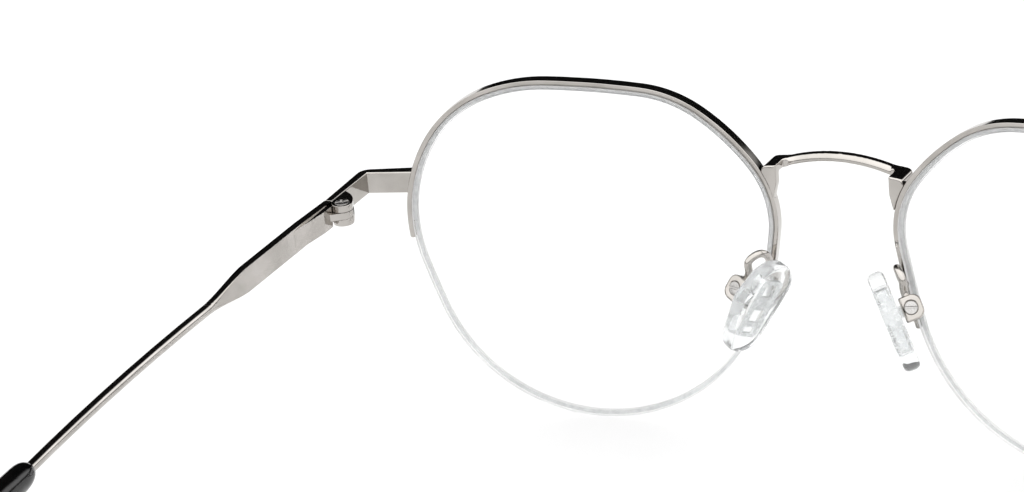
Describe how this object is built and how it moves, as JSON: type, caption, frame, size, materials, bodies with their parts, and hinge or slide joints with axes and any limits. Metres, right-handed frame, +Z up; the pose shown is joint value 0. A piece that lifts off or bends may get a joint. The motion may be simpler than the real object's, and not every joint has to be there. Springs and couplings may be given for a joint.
{
  "type": "half-rim eyeglasses",
  "caption": "Half-rim round metal eyeglasses with clear lenses held by nylon cords, adjustable nose pads, folding wire temples and black temple tips.",
  "frame": {"origin": "on the table under the middle of the glasses' outer box, standing on the lens bottoms and the ends of the temple tips", "axes": "+Z up, the front faces -Y, the temples run towards +Y, the wearer's left is +X"},
  "size_m": [0.1358, 0.1554, 0.0477],
  "materials": {
    "polished_metal": "polished plated steel, warm grey",
    "screw_metal": "machined screw steel",
    "lens": "clear hard-coated lens plastic",
    "nylon": "clear nylon",
    "clear_pad": "clear soft pad plastic",
    "pad_core": "clear stiff plastic",
    "black_acetate": "polished black acetate"
  },
  "bodies": {
    "front": {"bridge": "polished_metal", "left_rim": "polished_metal", "left_liner": "nylon", "left_lens": "lens", "left_cord": "nylon", "left_end_piece": "polished_metal", "left_front_leaf": "polished_metal", "left_hinge_screw": "screw_metal", "left_pad_arm": "polished_metal", "left_pad_box": "polished_metal", "left_pad_screw": "screw_metal", "right_rim": "polished_metal", "right_liner": "nylon", "right_lens": "lens", "right_cord": "nylon", "right_end_piece": "polished_metal", "right_front_leaf": "polished_metal", "right_hinge_screw": "screw_metal", "right_pad_arm": "polished_metal", "right_pad_box": "polished_metal", "right_pad_screw": "screw_metal"},
    "left_temple_arm": {"left_temple": "polished_metal", "left_temple_leaf": "polished_metal", "left_tip": "black_acetate"},
    "left_nose_rest": {"left_nose_pad": "clear_pad", "left_pad_core": "pad_core"},
    "right_temple_arm": {"right_temple": "polished_metal", "right_temple_leaf": "polished_metal", "right_tip": "black_acetate"},
    "right_nose_rest": {"right_nose_pad": "clear_pad", "right_pad_core": "pad_core"}
  },
  "joints": [
    {"name": "left_temple_fold", "type": "hinge", "parent": "front", "child": "left_temple_arm", "pos_m": [0.0633, -0.05668, 0.03228], "axis": [0, 0, 1], "range_deg": [0, 90]},
    {"name": "right_temple_fold", "type": "hinge", "parent": "front", "child": "right_temple_arm", "pos_m": [-0.0633, -0.05668, 0.03228], "axis": [0, 0, -1], "range_deg": [0, 84]},
    {"name": "left_pad_rock", "type": "hinge", "parent": "front", "child": "left_nose_rest", "pos_m": [0.01195, -0.06851, 0.02144], "axis": [0.3328, 0.8209, 0.4642], "range_deg": [-8, 8]},
    {"name": "right_pad_rock", "type": "hinge", "parent": "front", "child": "right_nose_rest", "pos_m": [-0.01195, -0.06851, 0.02144], "axis": [-0.3328, 0.8209, 0.4642], "range_deg": [-8, 8]}
  ]
}
